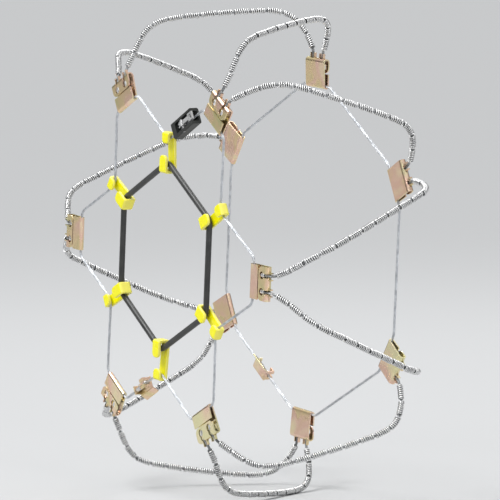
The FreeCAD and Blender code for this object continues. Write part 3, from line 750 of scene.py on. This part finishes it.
def build_cables():
    for side, route in (("outer", outer_route), ("inner", inner_route)):
        hoop = cable(side + "_hoop_strand", route(SIDE_CABLE_STEP), SIDE_CABLE_R, SIDE_CABLE_LAY)
        dress(hoop, "side_cable", "net", side + "_side_cable")
    for leg, side in enumerate((1, -1)):
        core = cable("core_master", tread_route(side, TREAD_CABLE_STEP), TREAD_CABLE_R, TREAD_CABLE_LAY)
        wound = coils("coil_master", side)
        for i in range(SIDES):
            number = str(2 * i + leg + 1)
            strand = copy_turned(core, "tread_strand_" + number, bracket_deg(i))
            dress(strand, "core_cable", "net", "tread_cable_" + number)
            winding = copy_turned(wound, "coil_windings_" + number, bracket_deg(i))
            dress(winding, "coil_steel", "net", "traction_coils_" + number)
        bpy.data.objects.remove(core)
        bpy.data.objects.remove(wound)


def build_ring():
    path = ring_route(RING_STEP)
    ring = swept("rubber_tension_ring", path, round_rings(len(path), RING_CORD_R, RING_FACETS), True)
    dress(ring, "ring_rubber", "tension_ring", "tension_ring")


def refine_cad_nodes():
    for i in range(SIDES):
        number = str(i + 1)
        for side in ("outer", "inner"):
            refine(side + "_bracket_" + number, chromates[i], BRACKET_EDGE)
        mould("tension_hook_" + number, materials["yellow_plastic"])
    for side in ("outer", "inner"):
        refine(side + "_fastener_plate", chromates[0], PLATE_EDGE)
        refine(side + "_fastener_ends", materials["button_steel"], TURNED_EDGE)
        refine(side + "_cable_buttons", materials["button_steel"], TURNED_EDGE)
    for node in ("cam_lock_body", "cam_lock_cap"):
        refine(node, materials["black_plastic"], LOCK_EDGE)
    refine("cam_pin", materials["button_steel"], PIN_EDGE)
    refine("cam_spring", materials["button_steel"], SPRING_EDGE)
    refine("cam_lever", materials["cast_alloy"], LEVER_EDGE)


# ---------------------------------------------------------------- stage
FLOOR_HALF = 60.0
FLOOR_COLOUR = (0.47, 0.475, 0.48, 1)

# The sky's brightness, from straight down (0) to straight up (1): a dark band above the
# horizon gives the metal something to reflect.
SKY = [(0.0, 0.14), (0.12, 0.10), (0.4, 0.42), (0.8, 1.0)]
SKY_STRENGTH = 0.9
SUN_PLACE, SUN_STRENGTH, SUN_ANGLE_DEG = (-0.8, -1.2, 3.0), 1.85, 25
# Softboxes as name, place, width, height and watts.
SOFTBOXES = [
    ("key_softbox", (0.4, -2.4, 2.4), 1.5, 0.9, 40),
    ("side_softbox", (3.0, -0.3, 0.9), 0.6, 1.6, 26),
    ("rim_softbox", (-1.8, 1.6, 2.2), 1.2, 0.7, 20)]

CAMERA_AZIMUTH_DEG = 57.79
CAMERA_ELEVATION_DEG = 4.48
CAMERA_DISTANCE = 5.6665
CAMERA_LENS = 324
CAMERA_SENSOR = 36
CAMERA_SHIFT = (0.0126, 0.005)
CAMERA_FAR = 100


def build_floor():
    corners = [(-FLOOR_HALF, -FLOOR_HALF, 0), (FLOOR_HALF, -FLOOR_HALF, 0),
               (FLOOR_HALF, FLOOR_HALF, 0), (-FLOOR_HALF, FLOOR_HALF, 0)]
    floor = mesh_object("floor", corners, [(0, 1, 2, 3)])
    floor.location = (0, 0, cad_low.z)
    s = Shader("pale_floor")
    s.put(Base_Color=FLOOR_COLOUR, Roughness=0.85)
    floor.data.materials.append(s.material)


def build_sky():
    world = bpy.data.worlds.new("studio")
    bpy.context.scene.world = world
    world.use_nodes = True
    tree = world.node_tree
    background = tree.nodes["Background"]
    coords = tree.nodes.new("ShaderNodeTexCoord")
    split = tree.nodes.new("ShaderNodeSeparateXYZ")
    tree.links.new(coords.outputs["Generated"], split.inputs[0])
    ramp = tree.nodes.new("ShaderNodeValToRGB")
    fill_ramp(ramp, [(place, (grey, grey * 1.01, grey * 1.02)) for place, grey in SKY], "EASE")
    tree.links.new(split.outputs[2], ramp.inputs["Fac"])
    tree.links.new(ramp.outputs["Color"], background.inputs["Color"])
    background.inputs["Strength"].default_value = SKY_STRENGTH


def lamp(name, kind, place, energy):
    """A light that points at the wheel's centre."""
    light = bpy.data.lights.new(name, kind)
    light.energy = energy
    obj = bpy.data.objects.new(name, light)
    bpy.context.scene.collection.objects.link(obj)
    obj.location = place
    obj.rotation_euler = (-Vector(place)).to_track_quat("-Z", "Y").to_euler()
    return light


def build_lights():
    sun = lamp("overhead_sun", "SUN", SUN_PLACE, SUN_STRENGTH)
    sun.angle = math.radians(SUN_ANGLE_DEG)
    for name, place, width, height, watts in SOFTBOXES:
        box = lamp(name, "AREA", place, watts)
        box.shape = "RECTANGLE"
        box.size = width
        box.size_y = height


def build_camera():
    azimuth, elevation = math.radians(CAMERA_AZIMUTH_DEG), math.radians(CAMERA_ELEVATION_DEG)
    back = Vector((math.sin(azimuth) * math.cos(elevation), -math.cos(azimuth) * math.cos(elevation),
                   math.sin(elevation)))
    data = bpy.data.cameras.new("camera")
    data.lens = CAMERA_LENS
    data.sensor_width = CAMERA_SENSOR
    data.shift_x, data.shift_y = CAMERA_SHIFT
    data.clip_end = CAMERA_FAR
    camera = bpy.data.objects.new("camera", data)
    bpy.context.scene.collection.objects.link(camera)
    camera.location = back * CAMERA_DISTANCE
    camera.rotation_mode = "QUATERNION"
    camera.rotation_quaternion = (-back).to_track_quat("-Z", "Y")
    bpy.context.scene.camera = camera


build_cables()
build_ring()
refine_cad_nodes()
build_floor()
build_sky()
build_lights()
build_camera()
bpy.context.scene.view_settings.view_transform = "Standard"
